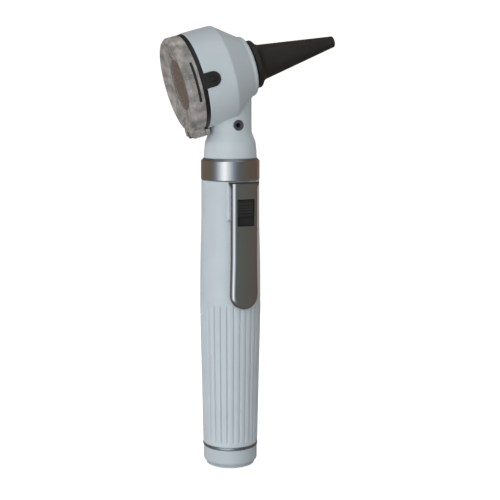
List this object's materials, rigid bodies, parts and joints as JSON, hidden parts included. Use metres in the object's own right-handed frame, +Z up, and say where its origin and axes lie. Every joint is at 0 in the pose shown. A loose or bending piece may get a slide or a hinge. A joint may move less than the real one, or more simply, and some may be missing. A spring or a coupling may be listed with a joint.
{
  "type": "otoscope",
  "caption": "Battery-handled pocket otoscope with a tilted head, swivel magnifying window, ear speculum, slide switch, pocket clip and unscrewing head and cap.",
  "frame": {"origin": "centre of the bottom cap's flat face", "axes": "+Z up the handle's axis; +X the way the speculum points; -Y the side with clip and air port"},
  "size_m": [0.0677, 0.0374, 0.1691],
  "materials": {
    "grip_plastic": "satin moulded light grey",
    "head_plastic": "satin moulded light grey",
    "chrome": "polished",
    "clip_metal": "polished pressed sheet",
    "steel": "plain",
    "brass": "plain",
    "black_plastic": "fine satin",
    "speculum_plastic": "fine matt",
    "switch_plastic": "satin",
    "clear_plastic": "clear acrylic",
    "lens_glass": "polished lens",
    "lamp_glass": "clear bulb",
    "rubber": "matt",
    "insulator": "plain moulded",
    "cell_jacket": "printed film, blank",
    "port_plastic": "satin"
  },
  "bodies": {
    "handle": {"grip_shell": "grip_plastic", "inner_tube": "steel", "collar_ring": "chrome", "contact_carrier": "insulator", "battery_contact": "brass", "contact_spring": "steel", "contact_strip": "brass", "clip_bracket": "clip_metal", "clip_rivets": "steel", "battery_lower": "cell_jacket", "battery_upper": "cell_jacket"},
    "plunger": {"contact_pin": "brass"},
    "clip": {"pocket_clip": "clip_metal"},
    "switch": {"switch_slider": "switch_plastic", "switch_blade": "brass"},
    "cap_travel": {"cap_seal": "rubber"},
    "cap": {"bottom_cap": "grip_plastic", "cap_contact": "steel", "battery_spring": "steel"},
    "head_travel": {"head_seal": "rubber"},
    "head": {"head_housing": "head_plastic", "head_ferrule": "steel", "lamp_holder": "insulator", "lamp_base": "brass", "lamp_contact": "brass", "lamp_envelope": "lamp_glass", "insufflation_port": "port_plastic", "nose_insert": "black_plastic", "retaining_ring": "black_plastic", "ring_pins": "black_plastic", "pivot_block": "clear_plastic", "pivot_screw": "steel", "friction_washer": "steel"},
    "window": {"window_frame": "clear_plastic", "magnifier_lens": "lens_glass", "lens_retainer": "clear_plastic"},
    "speculum": {"speculum": "speculum_plastic"}
  },
  "joints": [
    {"name": "switch_slide", "type": "slide", "parent": "handle", "child": "switch", "axis": [0, 0, -1], "range_m": [0, 0.0034]},
    {"name": "clip_flex", "type": "hinge", "parent": "handle", "child": "clip", "pos_m": [0.00205, -0.01269, 0.1098], "axis": [-0.9871, -0.1599, 0], "range_deg": [0, 5], "stiffness_Nm_per_rad": 1.2},
    {"name": "contact_press", "type": "slide", "parent": "handle", "child": "plunger", "axis": [0, 0, -1], "range_m": [0, 0.001], "stiffness_N_per_m": 200, "deforming": ["contact_spring"]},
    {"name": "cap_unscrew_travel", "type": "slide", "parent": "handle", "child": "cap_travel", "axis": [0, 0, -1], "range_m": [0, 0.005]},
    {"name": "cap_unscrew_turn", "type": "hinge", "parent": "cap_travel", "child": "cap", "pos_m": [0, 0, 0], "axis": [0, 0, -1], "range_deg": [0, 721]},
    {"name": "head_unscrew_travel", "type": "slide", "parent": "handle", "child": "head_travel", "axis": [0, 0, 1], "range_m": [0, 0.006]},
    {"name": "head_unscrew_turn", "type": "hinge", "parent": "head_travel", "child": "head", "pos_m": [0, 0, 0.12], "axis": [0, 0, 1], "range_deg": [0, 1081]},
    {"name": "window_swing", "type": "hinge", "parent": "head", "child": "window", "pos_m": [-0.01368, 0, 0.12943], "axis": [0.9636, 0, 0.2672], "range_deg": [-70, 70]},
    {"name": "speculum_pull", "type": "slide", "parent": "head", "child": "speculum", "axis": [0.9636, 0, 0.2672], "range_m": [0, 0.014]}
  ],
  "couplings": [
    {"joint": "cap_unscrew_turn", "follows": "cap_unscrew_travel", "rad_per_m": 2513.3},
    {"joint": "head_unscrew_turn", "follows": "head_unscrew_travel", "rad_per_m": 3141.6}
  ]
}
